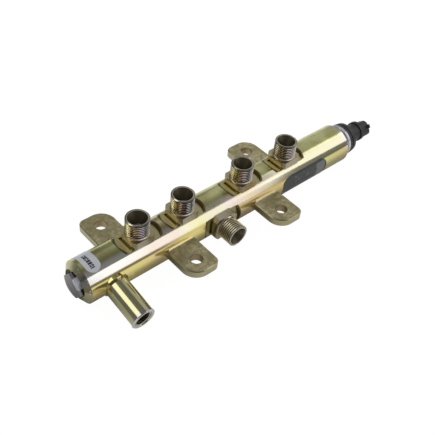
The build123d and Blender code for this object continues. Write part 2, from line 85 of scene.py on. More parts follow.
class Graph:
    """Thin builder for a node tree, so that formulas read in one line each."""

    def __init__(self, tree: bpy.types.NodeTree) -> None:
        """Starts on an empty tree."""
        self.tree = tree
        self.column = 0

    def node(self, kind: str, **settings: Any) -> bpy.types.Node:
        """Adds a node.

        Args:
            kind: The node's type name.
            **settings: Properties of the node, set as they are.

        Returns:
            The new node.
        """
        made = self.tree.nodes.new(kind)
        made.location = (self.column * 60.0, -(self.column % 7) * 120.0)
        self.column += 1
        for name, value in settings.items():
            setattr(made, name, value)
        return made

    def feed(self, node: bpy.types.Node, **values: Any) -> bpy.types.Node:
        """Sets or links inputs by name, with underscores for spaces.

        Args:
            node: The node to fill.
            **values: Sockets to link from, or plain values.

        Returns:
            The same node.
        """
        for name, value in values.items():
            self.put(node.inputs[name.replace("_", " ")], value)
        return node

    def put(self, socket: bpy.types.NodeSocket, value: Any) -> None:
        """Links a socket into an input, or writes a plain value there."""
        if isinstance(value, bpy.types.NodeSocket):
            self.tree.links.new(value, socket)
        else:
            socket.default_value = value

    def math(self, operation: str, *terms: Any, clamp: bool = False) -> bpy.types.NodeSocket:
        """Adds a math node.

        Args:
            operation: Blender's name of the operation.
            *terms: One to three sockets or numbers.
            clamp: Whether the result is held between 0 and 1.

        Returns:
            The result's socket.
        """
        made = self.node("ShaderNodeMath", operation=operation, use_clamp=clamp)
        for socket, term in zip(made.inputs, terms):
            self.put(socket, term)
        return made.outputs[0]

    def negative(self, value: Any) -> bpy.types.NodeSocket:
        """The value with its sign turned."""
        return self.math("MULTIPLY", value, -1.0)

    def centred(self, value: Any, width: float) -> bpy.types.NodeSocket:
        """Spreads a value of 0 to 1 over a width, with 0 in its middle."""
        return self.math("MULTIPLY", self.math("SUBTRACT", value, 0.5), width)

    def step(self, value: Any, low: float, high: float) -> bpy.types.NodeSocket:
        """Smooth rise from 0 at low to 1 at high; falls instead when low is above high."""
        made = self.node("ShaderNodeMapRange", interpolation_type="SMOOTHSTEP")
        flip = low > high
        self.feed(made, Value=value, From_Min=min(low, high), From_Max=max(low, high))
        self.feed(made, To_Min=1.0 if flip else 0.0, To_Max=0.0 if flip else 1.0)
        return made.outputs[0]

    def band(self, value: Any, low: float, high: float, soft: float) -> bpy.types.NodeSocket:
        """Mask of 1 between low and high, with soft edges on both sides."""
        rise = self.step(value, low - soft, low + soft)
        fall = self.step(value, high + soft, high - soft)
        return self.math("MULTIPLY", rise, fall)

    def every(self, *masks: Any) -> bpy.types.NodeSocket:
        """Product of several masks."""
        whole = masks[0]
        for mask in masks[1:]:
            whole = self.math("MULTIPLY", whole, mask)
        return whole

    def inside(self, *tests: tuple[Any, Any]) -> bpy.types.NodeSocket:
        """Mask of 1 where each value is within the limit given beside it."""
        return self.every(*(limit.mask(self, value) for value, limit in tests))

    def blend(self, factor: Any, first: Any, second: Any) -> bpy.types.NodeSocket:
        """Number mix from first to second."""
        made = self.node("ShaderNodeMix", data_type="FLOAT")
        for number, value in ((0, factor), (2, first), (3, second)):
            self.put(made.inputs[number], value)
        return made.outputs[0]

    def millimetres(self, vector: Any) -> tuple[Any, Any, Any]:
        """Splits a position in metres into three numbers in millimetres."""
        made = self.node("ShaderNodeVectorMath", operation="SCALE")
        self.feed(made, Vector=vector, Scale=1000.0)
        return self.split(made.outputs[0])

    def mix(self, factor: Any, first: Any, second: Any) -> bpy.types.NodeSocket:
        """Colour mix from first to second.

        Args:
            factor: Share of the second colour.
            first: Colour socket or RGB triple.
            second: Colour socket or RGB triple.

        Returns:
            The mixed colour's socket.
        """
        made = self.node("ShaderNodeMix", data_type="RGBA")
        self.put(made.inputs[0], factor)
        for number, value in ((6, first), (7, second)):
            self.put(made.inputs[number], (*value, 1.0) if isinstance(value, tuple) else value)
        return made.outputs[2]

    def noise(self, vector: Any, scale: float, detail: float = 3.0) -> bpy.types.NodeSocket:
        """Noise value from 0 to 1 at a scale in cells a metre."""
        made = self.node("ShaderNodeTexNoise", noise_dimensions="3D")
        self.feed(made, Vector=vector, Scale=scale, Detail=detail)
        return made.outputs["Fac"]

    def split(self, vector: Any) -> tuple[Any, Any, Any]:
        """Splits a vector into its three numbers."""
        made = self.node("ShaderNodeSeparateXYZ")
        self.put(made.inputs[0], vector)
        return made.outputs[0], made.outputs[1], made.outputs[2]

    def join(self, x: Any, y: Any, z: Any) -> bpy.types.NodeSocket:
        """Joins three numbers into a vector."""
        made = self.node("ShaderNodeCombineXYZ")
        for socket, value in zip(made.inputs, (x, y, z)):
            self.put(socket, value)
        return made.outputs[0]

    def group(self, tree: bpy.types.NodeTree, **values: Any) -> Any:
        """Adds a shared group with its inputs filled, and gives its outputs."""
        return self.feed(self.node("ShaderNodeGroup", node_tree=tree), **values).outputs

    def mix_shaders(self, share: Any, first: bpy.types.Node, second: bpy.types.Node) -> bpy.types.NodeSocket:
        """Shader mix from first to second."""
        made = self.node("ShaderNodeMixShader")
        for socket, value in zip(made.inputs, (share, first.outputs[0], second.outputs[0])):
            self.put(socket, value)
        return made.outputs[0]

    def ramp(self, value: Any, stops: tuple[tuple[float, Colour], ...]) -> bpy.types.NodeSocket:
        """Colour ramp over a value, with stops of place and colour."""
        made = self.node("ShaderNodeValToRGB")
        band = made.color_ramp
        while len(band.elements) < len(stops):
            band.elements.new(0.5)
        for element, (place, colour) in zip(band.elements, stops):
            element.position = place
            element.color = (*colour, 1.0)
        self.put(made.inputs[0], value)
        return made.outputs[0]


@dataclass(frozen=True)
class Span:
    """A stretch of some measure, with soft ends."""

    low: float
    high: float
    soft: float

    def mask(self, graph: Graph, value: Any) -> bpy.types.NodeSocket:
        """Mask of 1 within the stretch."""
        return graph.band(value, self.low, self.high, self.soft)


@dataclass(frozen=True)
class Edge:
    """A soft edge of some measure: the mask is 0 at off and 1 at on."""

    off: float
    on: float

    def mask(self, graph: Graph, value: Any) -> bpy.types.NodeSocket:
        """Mask of 1 past the edge."""
        return graph.step(value, self.off, self.on)


@dataclass(frozen=True)
class Speckle:
    """Patches of noise: cells a metre, detail, the edge where they set in, and strength."""

    scale: float
    detail: float
    edge: Edge
    strength: float = 1.0

    def mask(self, graph: Graph, place: Any) -> bpy.types.NodeSocket:
        """Mask of the patches, as strong as they are set."""
        patches = self.edge.mask(graph, graph.noise(place, self.scale, self.detail))
        return patches if self.strength == 1.0 else graph.math("MULTIPLY", patches, self.strength)


class GroupBook:
    """Shared shader groups, each built once."""

    def __init__(self) -> None:
        """Starts with no group built."""
        self.groups: dict[str, bpy.types.NodeTree] = {}

    def start(self, name: str, inputs: dict[str, Any], outputs: tuple[str, ...]) -> tuple[Graph, Any, Any]:
        """Opens a new group with named sockets.

        Args:
            name: Name of the group.
            inputs: Input names with their defaults; a tuple of three is a vector.
            outputs: Names of the outputs, which are numbers.

        Returns:
            The graph, the group's input node and its output node.
        """
        tree = bpy.data.node_groups.new(name, "ShaderNodeTree")
        for label, default in inputs.items():
            kind = "NodeSocketVector" if isinstance(default, tuple) else "NodeSocketFloat"
            socket = tree.interface.new_socket(label, in_out="INPUT", socket_type=kind)
            socket.default_value = default
        for label in outputs:
            tree.interface.new_socket(label, in_out="OUTPUT", socket_type="NodeSocketFloat")
        graph = Graph(tree)
        return graph, graph.node("NodeGroupInput"), graph.node("NodeGroupOutput")

    def machining(self) -> bpy.types.NodeTree:
        """Fine tool marks and orange peel: a roughness shift and a bump height."""
        if "machining" not in self.groups:
            graph, given, result = self.start(
                "Machining Marks",
                {"Vector": (0.0, 0.0, 0.0), "Scale": 900.0, "Roughness": 0.3, "Spread": 0.1},
                ("Roughness", "Height"),
            )
            x, y, z = graph.split(given.outputs["Vector"])
            drawn = graph.join(graph.math("MULTIPLY", x, 0.12), y, z)
            made = graph.node("ShaderNodeTexNoise", noise_dimensions="3D")
            graph.feed(made, Vector=drawn, Scale=given.outputs["Scale"], Detail=4.0)
            patch = graph.noise(given.outputs["Vector"], 70.0, 2.0)
            both = graph.math("ADD", made.outputs["Fac"], graph.math("MULTIPLY", patch, 0.8))
            centred = graph.math("SUBTRACT", both, 0.9)
            shift = graph.math("MULTIPLY", centred, given.outputs["Spread"])
            rough = graph.math("ADD", given.outputs["Roughness"], shift, clamp=True)
            graph.put(result.inputs["Roughness"], rough)
            graph.put(result.inputs["Height"], made.outputs["Fac"])
            self.groups["machining"] = graph.tree
        return self.groups["machining"]

    def port_field(self) -> bpy.types.NodeTree:
        """Place relative to the nearest port: radius, height and azimuth, in millimetres."""
        if "port_field" not in self.groups:
            names = ("Radius", "Height", "Angle", "Offset", "Side", "Inlet")
            graph, given, result = self.start("Port Field", {"Vector": (0.0, 0.0, 0.0)}, names)
            x, y, z = graph.millimetres(given.outputs["Vector"])
            offset = graph.math("SUBTRACT", x, OUTLET_X[0])
            for place in OUTLET_X[1:]:
                rival = graph.math("SUBTRACT", x, place)
                sizes = (graph.math("ABSOLUTE", rival), graph.math("ABSOLUTE", offset))
                offset = graph.blend(graph.math("LESS_THAN", *sizes), offset, rival)
            beside = graph.math("SUBTRACT", x, INLET_X)
            front = graph.math("GREATER_THAN", graph.negative(y), z)
            near = graph.math("LESS_THAN", graph.math("ABSOLUTE", beside), INLET_REACH)
            inlet = graph.math("MULTIPLY", front, near)
            offset = graph.blend(inlet, offset, beside)
            side = graph.blend(inlet, y, graph.negative(z))
            height = graph.blend(inlet, z, graph.negative(y))
            squares = graph.math("ADD", graph.math("POWER", graph.math("ABSOLUTE", offset), 2.0),
                                 graph.math("POWER", graph.math("ABSOLUTE", side), 2.0))
            radius = graph.math("SQRT", squares)
            angle = graph.math("ARCTAN2", side, offset)
            for name, value in zip(names, (radius, height, angle, offset, side, inlet)):
                graph.put(result.inputs[name], value)
            self.groups["port_field"] = graph.tree
        return self.groups["port_field"]

    def rail_field(self) -> bpy.types.NodeTree:
        """Place on the rail: along it, the angle up from the front in degrees, and its arc."""
        if "rail_field" not in self.groups:
            names = ("Along", "Angle", "Arc")
            graph, given, result = self.start("Rail Field", {"Vector": (0.0, 0.0, 0.0)}, names)
            x, y, z = graph.millimetres(given.outputs["Vector"])
            turn = graph.math("ARCTAN2", z, graph.negative(y))
            graph.put(result.inputs["Along"], x)
            graph.put(result.inputs["Angle"], graph.math("DEGREES", turn))
            graph.put(result.inputs["Arc"], graph.math("MULTIPLY", turn, RAIL_RADIUS))
            self.groups["rail_field"] = graph.tree
        return self.groups["rail_field"]


BOOK = GroupBook()
DRIFT_LENGTH = 250.0
BAR_FRONT = (
    (0.06, (0.80, 0.70, 0.26)), (0.38, (0.74, 0.62, 0.24)), (0.52, (0.62, 0.52, 0.22)),
    (0.66, (0.66, 0.50, 0.22)), (0.84, (0.66, 0.63, 0.26)), (0.97, (0.64, 0.54, 0.25)),
)
# The shoulder band lies where the softboxes' highlight runs along the bar; its pale colours are a painted
# highlight tint.
BAR_SHOULDER = (
    (0.10, (0.88, 0.87, 0.82)), (0.28, (0.84, 0.79, 0.70)), (0.37, (0.79, 0.75, 0.43)),
    (0.48, (0.78, 0.70, 0.64)), (0.60, (0.75, 0.69, 0.54)), (0.72, (0.80, 0.75, 0.52)),
    (0.90, (0.80, 0.76, 0.54)),
)
# Film colours by azimuth round each port: partly real film, partly painted highlights, with the pale yellow
# and lilac-white stops where the lamps' reflections fall.
THREAD_FILM = (
    (0.00, (0.86, 0.78, 0.42)), (0.05, (0.95, 0.84, 0.52)), (0.11, (0.95, 0.76, 0.60)),
    (0.17, (0.74, 0.58, 0.58)), (0.21, (0.70, 0.62, 0.74)), (0.25, (0.66, 0.78, 0.76)),
    (0.29, (0.72, 0.76, 0.78)), (0.33, (0.84, 0.76, 0.86)), (0.39, (0.64, 0.56, 0.58)),
    (0.55, (0.68, 0.61, 0.46)), (1.00, (0.84, 0.76, 0.42)),
)
# wall, slot, mouth and core are painted shade: dark in the spot face's wall, in the slot, in the bore and
# between the thread's turns.
PORT_TONES = {
    "floor": (0.52, 0.47, 0.24),
    "wall": (0.16, 0.12, 0.05),
    "boss": (0.50, 0.43, 0.27),
    "slot": (0.12, 0.10, 0.05),
    "mouth": (0.15, 0.13, 0.08),
    "rim": (0.52, 0.48, 0.40),
    "core": (0.05, 0.04, 0.03),
    "foot": (0.78, 0.70, 0.62),
    "face": (0.54, 0.48, 0.38),
    "lit": (0.60, 0.52, 0.26),
}
PORT_ROUGHNESS = {"floor": 0.3, "wall": 0.45, "boss": 0.26, "mouth": 0.5, "rim": 0.2}


@dataclass(frozen=True)
class Finish:
    """Base of every finish: a Principled material with machining marks."""

    name: str
    colour: Colour
    roughness: float
    metallic: float = 1.0
    spread: float = 0.08
    grain: float = 900.0
    bump: float = 0.02

    def material(self) -> bpy.types.Material:
        """Builds the material.

        Returns:
            The finished material.
        """
        made = bpy.data.materials.new(self.name)
        made.use_nodes = True
        made.node_tree.nodes.clear()
        graph = Graph(made.node_tree)
        place = graph.node("ShaderNodeTexCoord").outputs["Object"]
        shader = graph.node("ShaderNodeBsdfPrincipled")
        output = graph.node("ShaderNodeOutputMaterial")
        graph.put(output.inputs["Surface"], shader.outputs[0])
        rough = self.polish(graph, place)
        marks = graph.group(
            BOOK.machining(), Vector=place, Scale=self.grain, Roughness=rough, Spread=self.spread
        )
        lump = graph.node("ShaderNodeBump")
        graph.feed(lump, Height=marks["Height"], Strength=self.bump, Distance=MARK_DEPTH)
        graph.feed(shader, Roughness=marks["Roughness"], Normal=lump.outputs[0])
        graph.feed(shader, Metallic=self.metal(graph, place))
        graph.put(shader.inputs["Base Color"], self.tint(graph, place))
        return made

    def metal(self, graph: Graph, place: Any) -> Any:
        """Share of bare metal over the surface: the same everywhere."""
        return self.metallic

    def polish(self, graph: Graph, place: Any) -> Any:
        """Mean roughness over the surface: the same everywhere."""
        return self.roughness

    def tint(self, graph: Graph, place: Any) -> Any:
        """Colour over the surface: a faint drift about the base colour.

        Args:
            graph: The material's graph.
            place: Object coordinates.

        Returns:
            A colour socket.
        """
        drift = graph.noise(place, 45.0, 2.0)
        dark = tuple(0.82 * c for c in self.colour)
        return graph.mix(drift, dark, self.colour)


@dataclass(frozen=True)
class PortLimits:
    """Where a port's parts lie: height, radius, offset and side about its axis, in millimetres."""

    floor_height: Span = Span(12.4, 12.6, 0.08)
    floor_radius: Edge = Edge(14.9, 14.6)
    wall_height: Span = Span(12.6, 15.6, 0.15)
    wall_radius: Span = Span(14.3, 16.6, 0.1)
    slot_offset: Span = Span(-10.3, -9.0, 0.06)
    slot_side: Span = Span(-6.4, 6.4, 0.1)
    # No lower limit: the slot's painted shade also falls on the bar's far side.
    slot_height: Edge = Edge(12.2, 12.0)
    lit_offset: Span = Span(-10.4, -9.75, 0.05)
    boss_height: Span = Span(12.65, 18.3, 0.1)
    boss_radius: Edge = Edge(13.2, 13.0)
    face_height: Span = Span(12.7, 17.9, 0.1)
    face_side: Edge = Edge(-7.6, -8.4)
    mouth_radius: Edge = Edge(6.66, 6.5)
    mouth_height: Edge = Edge(18.0, 19.0)
    rim_radius: Span = Span(6.55, 8.3, 0.06)
    rim_height: Edge = Edge(29.4, 29.7)
    core_radius: Span = Span(6.9, 7.2, 0.05)
    core_height: Span = Span(18.8, 29.3, 0.1)
    foot_radius: Span = Span(6.9, 8.6, 0.05)
    foot_height: Span = Span(18.05, 18.75, 0.05)


@dataclass(frozen=True)
class BarLimits:
    """Stretches of the bar: along and across it in millimetres, round it in degrees from the front.

    hole_square is the square of the distance from a lug hole's axis.
    """

    polished: Span = Span(66.0, 162.0, 14.0)
    dull_top: Edge = Edge(66.0, 84.0)
    shoulder: Edge = Edge(27.0, 38.0)
    top: Edge = Edge(60.0, 74.0)
    patched: Span = Span(60.0, 160.0, 18.0)
    ring: Edge = Edge(234.5, 240.4)
    # Angle where the ring's painted highlight band sets in.
    ring_shoulder: Edge = Edge(16.0, 32.0)
    nose: Edge = Edge(3.3, 2.8)
    # Angle band of the nose's painted dark reflection.
    nose_dark: Span = Span(12.0, 64.0, 6.0)
    collar_front: Edge = Edge(-14.9, -15.2)
    collar_along: Edge = Edge(33.0, 32.0)
    collar_height: Span = Span(-12.5, 6.5, 0.3)
    lug_root: Edge = Edge(14.7, 15.3)
    lug_thickness: Edge = Edge(6.4, 5.8)
    lug_top: Edge = Edge(2.6, 2.95)
    past_tube: Edge = Edge(33.0, 35.0)
    back: Edge = Edge(-2.0, 2.0)
    hole_square: Edge = Edge(21.5, 19.0)


@dataclass(frozen=True)
class Plating(Finish):
    """Yellow-passivated zinc on the forging: gold, olive and faint pink."""

    port_at: PortLimits = PortLimits()
    bar_at: BarLimits = BarLimits()
    mottle: Speckle = Speckle(75.0, 3.0, Edge(0.36, 0.64))
    patches: Speckle = Speckle(62.0, 2.0, Edge(0.46, 0.60))
    blush: Speckle = Speckle(24.0, 1.0, Edge(0.55, 0.72), 0.30)
    scorch: Speckle = Speckle(260.0, 3.0, Edge(0.40, 0.62))
    # Pale specks on the nose: painted glints along the thin rim's edge.
    glint_specks: Speckle = Speckle(420.0, 1.0, Edge(0.64, 0.70))
    grit: Speckle = Speckle(330.0, 3.0, Edge(0.40, 0.60), 0.7)
    polished_roughness: float = 0.19
    top_roughness: float = 0.27
    lug_roughness: float = 0.36
    patch_strength: float = 0.7
    ring_strength: float = 0.85
    nose_strength: float = 0.8
    cloud_drift: float = 0.22

    def port(self, graph: Graph, place: Any) -> dict[str, Any]:
        """Reads the port field and turns it into masks of the port's parts."""
        field = graph.group(BOOK.port_field(), Vector=place)
        names = ("Radius", "Height", "Offset", "Side")
        radius, height, offset, side = (field[name] for name in names)
        at = self.port_at
        return {
            "floor": graph.inside((height, at.floor_height), (radius, at.floor_radius)),
            "wall": graph.inside((height, at.wall_height), (radius, at.wall_radius)),
            "slot": graph.inside((offset, at.slot_offset), (side, at.slot_side), (height, at.slot_height)),
            "boss": graph.inside((height, at.boss_height), (radius, at.boss_radius)),
            "mouth": graph.inside((radius, at.mouth_radius), (height, at.mouth_height)),
            "rim": graph.inside((radius, at.rim_radius), (height, at.rim_height)),
            "core": graph.inside((radius, at.core_radius), (height, at.core_height)),
            "foot": graph.inside((radius, at.foot_radius), (height, at.foot_height)),
            "face": graph.inside((height, at.face_height), (radius, at.boss_radius), (side, at.face_side)),
            "lit": graph.inside((offset, at.lit_offset), (side, at.slot_side)),
        }

    def lug(self, graph: Graph, place: Any) -> tuple[Any, Any]:
        """Masks of the lugs and of what lies as high as their upper faces."""
        x, y, z = graph.millimetres(place)
        at = self.bar_at
        out = at.lug_root.mask(graph, graph.math("ABSOLUTE", y))
        flat = at.lug_thickness.mask(graph, graph.math("ABSOLUTE", z))
        clear = graph.math("MAXIMUM", at.past_tube.mask(graph, x), at.back.mask(graph, y))
        return graph.every(out, flat, clear), at.lug_top.mask(graph, z)

    def polish(self, graph: Graph, place: Any) -> Any:
        """Bright on the front of the bar, duller on its top, lugs, bosses and hollows."""
        parts = self.port(graph, place)
        lugs, _ = self.lug(graph, place)
        field = graph.group(BOOK.rail_field(), Vector=place)
        at = self.bar_at
        rough = graph.blend(at.polished.mask(graph, field["Along"]), self.roughness, self.polished_roughness)
        rough = graph.blend(at.dull_top.mask(graph, field["Angle"]), rough, self.top_roughness)
        rough = graph.blend(lugs, rough, self.lug_roughness)
        for name, value in PORT_ROUGHNESS.items():
            rough = graph.blend(parts[name], rough, value)
        return rough

    def tint(self, graph: Graph, place: Any) -> Any:
        """Golden front, pale shoulder with a painted highlight tint, olive top; painted shade in the port
        hollows; clouds of film.
        """
        field = graph.group(BOOK.rail_field(), Vector=place)
        along, angle = field["Along"], field["Angle"]
        colour = self.bar(graph, place, along, angle)
        colour = self.ends(graph, place, along, angle, colour)
        colour = self.lug_tint(graph, place, along, colour)
        parts = self.port(graph, place)
        for name, tone in PORT_TONES.items():
            colour = graph.mix(parts[name], colour, tone)
        return colour

    def bar(self, graph: Graph, place: Any, along: Any, angle: Any) -> Any:
        """Colours of the round bar by angle round it, drifting along it with the clouds; the pale shoulder
        is a painted highlight tint and the darker olive top is partly painted shade.

        Args:
            graph: The material's graph.
            place: Object coordinates.
            along: Distance along the bar in millimetres.
            angle: Angle up from the front in degrees.

        Returns:
            A colour socket.
        """
        at = self.bar_at
        cloud = graph.centred(graph.noise(place, 30.0, 2.0), self.cloud_drift)
        drift = graph.math("ADD", graph.math("MULTIPLY", along, 1.0 / DRIFT_LENGTH), cloud)
        front = graph.ramp(drift, BAR_FRONT)
        shoulder = graph.ramp(drift, BAR_SHOULDER)
        patchy = graph.inside((along, at.patched), (place, self.patches))
        patchy = graph.math("MULTIPLY", patchy, self.patch_strength)
        shoulder = graph.mix(patchy, shoulder, (0.76, 0.74, 0.46))
        top = graph.mix(self.mottle.mask(graph, place), (0.50, 0.48, 0.22), (0.66, 0.66, 0.32))
        # By angle round the bar: the pale shoulder is a painted highlight tint, and the olive top, darker
        # than the front, is partly painted shade.
        colour = graph.mix(at.shoulder.mask(graph, angle), front, shoulder)
        colour = graph.mix(at.top.mask(graph, angle), colour, top)
        return graph.mix(self.blush.mask(graph, place), colour, (0.70, 0.46, 0.38))

    def ends(self, graph: Graph, place: Any, along: Any, angle: Any, colour: Any) -> Any:
        """Lays the scorched ring with its painted highlight band, the nose with a painted dark reflection
        and painted glints, and the braze collar over the bar.

        Args:
            graph: The material's graph.
            place: Object coordinates.
            along: Distance along the bar in millimetres.
            angle: Angle up from the front in degrees.
            colour: The bar's colour.

        Returns:
            A colour socket.
        """
        at = self.bar_at
        ring = graph.mix(self.scorch.mask(graph, place), (0.68, 0.48, 0.20), (0.60, 0.46, 0.34))
        # The ring's pale shoulder band is a painted highlight tint, and its darker top is painted shade.
        ring = graph.mix(at.ring_shoulder.mask(graph, angle), ring, (0.82, 0.76, 0.82))
        ring = graph.mix(at.dull_top.mask(graph, angle), ring, (0.46, 0.41, 0.42))
        ringed = graph.math("MULTIPLY", at.ring.mask(graph, along), self.ring_strength)
        colour = graph.mix(ringed, colour, ring)
        # On the nose, the dark band is a painted dark reflection and the pale specks are painted glints.
        nose = graph.mix(at.nose_dark.mask(graph, angle), (0.46, 0.45, 0.28), (0.11, 0.10, 0.08))
        nose = graph.mix(self.glint_specks.mask(graph, place), nose, (0.80, 0.78, 0.60))
        nosed = graph.math("MULTIPLY", at.nose.mask(graph, along), self.nose_strength)
        colour = graph.mix(nosed, colour, nose)
        _, y, z = graph.millimetres(place)
        collar = graph.inside((y, at.collar_front), (along, at.collar_along), (z, at.collar_height))
        return graph.mix(collar, colour, (0.27, 0.22, 0.09))

    def lug_tint(self, graph: Graph, place: Any, along: Any, colour: Any) -> Any:
        """Lays the gritty lugs over the bar, with painted shade on their sides and on the walls of their
        holes.

        Args:
            graph: The material's graph.
            place: Object coordinates.
            along: Distance along the bar in millimetres.
            colour: The bar's colour.

        Returns:
            A colour socket.
        """
        lugs, upper = self.lug(graph, place)
        top = graph.mix(self.mottle.mask(graph, place), (0.48, 0.42, 0.24), (0.70, 0.62, 0.38))
        top = graph.mix(self.grit.mask(graph, place), top, (0.36, 0.33, 0.17))
        # Lug sides and lower faces are painted darker than the upper faces: painted shade.
        edge = graph.mix(graph.noise(place, 150.0, 3.0), (0.30, 0.27, 0.15), (0.50, 0.46, 0.29))
        colour = graph.mix(lugs, colour, graph.mix(upper, edge, top))
        _, y, _ = graph.millimetres(place)
        aside = graph.math("SUBTRACT", graph.math("ABSOLUTE", y), LUG_HOLE_Y)
        # The lug hole walls are painted dark brown: painted shade inside the bores.
        for lug_x in LUG_X:
            off = graph.math("SUBTRACT", along, lug_x)
            squares = (graph.math("MULTIPLY", off, off), graph.math("MULTIPLY", aside, aside))
            hole = self.bar_at.hole_square.mask(graph, graph.math("ADD", *squares))
            colour = graph.mix(hole, colour, (0.34, 0.27, 0.15))
        return colour


@dataclass(frozen=True)
class TubePlating(Finish):
    """Plating of the return tube, worn to pale steel at its mouth."""

    braze: Edge = Edge(-16.6, -16.0)
    mouth: Edge = Edge(-41.0, -41.6)

    def tint(self, graph: Graph, place: Any) -> Any:
        """Olive gold with a pale end face and lip."""
        _, y, _ = graph.millimetres(place)
        wall = graph.mix(graph.noise(place, 150.0, 3.0), (0.54, 0.52, 0.29), (0.64, 0.61, 0.36))
        wall = graph.mix(self.braze.mask(graph, y), wall, (0.36, 0.30, 0.12))
        return graph.mix(self.mouth.mask(graph, y), wall, (0.54, 0.53, 0.48))


@dataclass(frozen=True)
class ThreadFilm(Finish):
    """Rainbow film on the port threads, by azimuth about each port, partly painted highlights; the grooves
    are painted shade.

    The plug side is where the azimuth, as a share of a turn, is near 0 or 1.
    """

    dull_end: Edge = Edge(150.0, 172.0)
    plug_side_low: Edge = Edge(0.15, 0.09)
    plug_side_high: Edge = Edge(0.94, 0.98)
    # Radii below which the grooves are painted dark: painted shade.
    outlet_groove: Edge = Edge(7.95, 7.66)
    inlet_groove: Edge = Edge(7.86, 7.50)
    groove_lift: float = 0.24
    inlet_roughness: float = 0.38
    dull_strength: float = 0.6
    inlet_strength: float = 0.8
    groove_strength: float = 0.95
    wobble_width: float = 0.16
    # Height where the mouth edge is painted darker: painted shade against the lamps' reflection.
    rim: Edge = Edge(29.25, 29.4)

    def polish(self, graph: Graph, place: Any) -> Any:
        """Duller on the inlet, which has been handled."""
        field = graph.group(BOOK.port_field(), Vector=place)
        return graph.blend(field["Inlet"], self.roughness, self.inlet_roughness)

    def tint(self, graph: Graph, place: Any) -> Any:
        """Yellow at the plug side, then pink, purple, teal and lilac towards the front; the pale yellow and
        lilac stops are partly painted highlights, and the grooves are painted shade.
        """
        field = graph.group(BOOK.port_field(), Vector=place)
        radius, inlet = field["Radius"], field["Inlet"]
        wobble = graph.centred(graph.noise(place, 90.0, 2.0), self.wobble_width)
        turn = graph.math("ADD", graph.math("DIVIDE", field["Angle"], math.tau), 0.5)
        turn = graph.math("ADD", turn, wobble)
        x, _, _ = graph.millimetres(place)
        dull = graph.math("MAXIMUM", self.dull_end.mask(graph, x), inlet)
        film = graph.ramp(turn, THREAD_FILM)
        film = graph.mix(graph.math("MULTIPLY", dull, self.dull_strength), film, (0.74, 0.64, 0.52))
        film = graph.mix(graph.math("MULTIPLY", inlet, self.inlet_strength), film, (0.92, 0.82, 0.52))
        # The grooves are painted near black as painted shade between the ridges; on the plug side the groove
        # mask is lifted, so less shade is painted there.
        sides = (self.plug_side_low.mask(graph, turn), self.plug_side_high.mask(graph, turn))
        lift = graph.math("MULTIPLY", graph.math("MAXIMUM", *sides), self.groove_lift)
        outlet = self.outlet_groove.mask(graph, graph.math("ADD", radius, lift))
        groove = graph.blend(inlet, outlet, self.inlet_groove.mask(graph, radius))
        shade = graph.math("MULTIPLY", groove, self.groove_strength)
        film = graph.mix(shade, film, (0.04, 0.03, 0.025))
        # The mouth edge is painted darker: painted shade that dims the lamps' reflection there.
        return graph.mix(self.rim.mask(graph, field["Height"]), film, (0.34, 0.32, 0.26))


@dataclass(frozen=True)
class DarkLabel(Finish):
    """Dark label skin: grey below, a paler field at its right and an area of specks."""

    panel: Colour = (0.30, 0.30, 0.29)
    lower: Edge = Edge(-16.0, -27.0)
    field_along: Span = Span(203.5, 212.6, 1.0)
    field_arc: Span = Span(-6.0, 6.4, 0.9)
    specks_along: Span = Span(176.0, 202.0, 0.5)
    specks_angle: Span = Span(4.0, 24.0, 3.0)
    flecks: Speckle = Speckle(900.0, 1.0, Edge(0.62, 0.68))
    field_strength: float = 0.8

    def tint(self, graph: Graph, place: Any) -> Any:
        """Ground, grey lower part, pale field and specks."""
        at = graph.group(BOOK.rail_field(), Vector=place)
        along, angle = at["Along"], at["Angle"]
        base = graph.mix(graph.noise(place, 120.0, 2.0), tuple(0.9 * c for c in self.colour), self.colour)
        right = graph.inside((along, self.field_along), (at["Arc"], self.field_arc))
        specks = graph.inside((along, self.specks_along), (angle, self.specks_angle), (place, self.flecks))
        base = graph.mix(self.lower.mask(graph, angle), base, (0.50, 0.51, 0.52))
        base = graph.mix(graph.math("MULTIPLY", right, self.field_strength), base, self.panel)
        return graph.mix(specks, base, self.panel)


